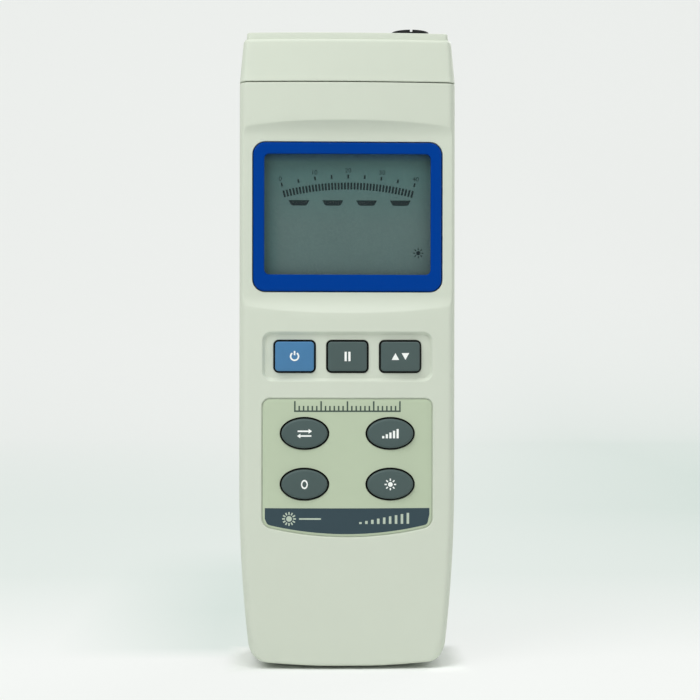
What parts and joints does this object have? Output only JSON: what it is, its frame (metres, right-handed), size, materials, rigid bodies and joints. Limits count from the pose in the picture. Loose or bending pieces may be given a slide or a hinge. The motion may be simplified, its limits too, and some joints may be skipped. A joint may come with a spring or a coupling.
{
  "type": "handheld light meter",
  "caption": "Handheld light meter: moulded case with crowned front, framed display in a scooped recess, sprung keys, folding stand, battery bay and a probe socket in its end cap.",
  "frame": {"origin": "middle of the base that the meter stands on", "axes": "+Z from the base to the end cap, +X to the right of the display, +Y to the back, so the display faces -Y"},
  "size_m": [0.07, 0.038, 0.206],
  "materials": {
    "case": "fine matt, warm light grey",
    "blue_frame": "satin blue",
    "window": "clear, thin",
    "lcd": "grey-green display cell of glass",
    "black_plastic": "matt black",
    "zebra": "soft pink silicone",
    "board": "green solder mask on glass laminate",
    "silicone": "matt grey silicone",
    "blue_key": "matt light blue",
    "grey_key": "matt dark grey",
    "overlay": "printed matt film, pale green",
    "steel": "nickel plated",
    "contact_brass": "plated contacts",
    "cell": "plain dark sleeve over a cell of about 23 g"
  },
  "bodies": {
    "case": {"front_shell": "case", "rear_shell": "case", "end_cap": "case", "display_bezel": "blue_frame", "display_window": "window", "lcd_cell": "lcd", "lcd_frame": "black_plastic", "zebra_strips": "zebra", "main_board": "board", "controller_chip": "black_plastic", "amplifier_chip": "black_plastic", "quartz_crystal": "steel", "keypad_mat": "silicone", "power_dome": "silicone", "hold_dome": "silicone", "record_dome": "silicone", "unit_dome": "silicone", "range_dome": "silicone", "zero_dome": "silicone", "source_dome": "silicone", "panel_overlay": "overlay", "sensor_socket": "steel", "socket_insulator": "black_plastic", "socket_contacts": "contact_brass", "socket_ring_nut": "black_plastic", "data_jack": "black_plastic", "power_jack": "black_plastic", "power_jack_pin": "contact_brass", "battery_cells": "cell", "battery_contacts": "steel", "case_screws": "steel", "board_screws": "steel"},
    "power_button": {"power_key": "blue_key"},
    "hold_button": {"hold_key": "grey_key"},
    "record_button": {"record_key": "grey_key"},
    "unit_button": {"unit_key": "grey_key"},
    "range_button": {"range_key": "grey_key"},
    "zero_button": {"zero_key": "grey_key"},
    "source_button": {"source_key": "grey_key"},
    "cover": {"battery_cover": "case", "cover_screws": "steel"},
    "stand": {"tilt_stand": "case"}
  },
  "joints": [
    {"name": "power_press", "type": "slide", "parent": "case", "child": "power_button", "axis": [0, 1, 0], "range_m": [0, 0.0011], "stiffness_N_per_m": 800, "deforming": ["power_dome"]},
    {"name": "hold_press", "type": "slide", "parent": "case", "child": "hold_button", "axis": [0, 1, 0], "range_m": [0, 0.0011], "stiffness_N_per_m": 800, "deforming": ["hold_dome"]},
    {"name": "record_press", "type": "slide", "parent": "case", "child": "record_button", "axis": [0, 1, 0], "range_m": [0, 0.0011], "stiffness_N_per_m": 800, "deforming": ["record_dome"]},
    {"name": "unit_press", "type": "slide", "parent": "case", "child": "unit_button", "axis": [0, 1, 0], "range_m": [0, 0.0011], "stiffness_N_per_m": 800, "deforming": ["unit_dome"]},
    {"name": "range_press", "type": "slide", "parent": "case", "child": "range_button", "axis": [0, 1, 0], "range_m": [0, 0.0011], "stiffness_N_per_m": 800, "deforming": ["range_dome"]},
    {"name": "zero_press", "type": "slide", "parent": "case", "child": "zero_button", "axis": [0, 1, 0], "range_m": [0, 0.0011], "stiffness_N_per_m": 800, "deforming": ["zero_dome"]},
    {"name": "source_press", "type": "slide", "parent": "case", "child": "source_button", "axis": [0, 1, 0], "range_m": [0, 0.0011], "stiffness_N_per_m": 800, "deforming": ["source_dome"]},
    {"name": "cover_lift", "type": "slide", "parent": "case", "child": "cover", "axis": [0, 1, 0], "range_m": [0, 0.03]},
    {"name": "stand_hinge", "type": "hinge", "parent": "case", "child": "stand", "pos_m": [0, 0.0175, 0.1583], "axis": [1, 0, 0], "range_deg": [0, 70]}
  ]
}
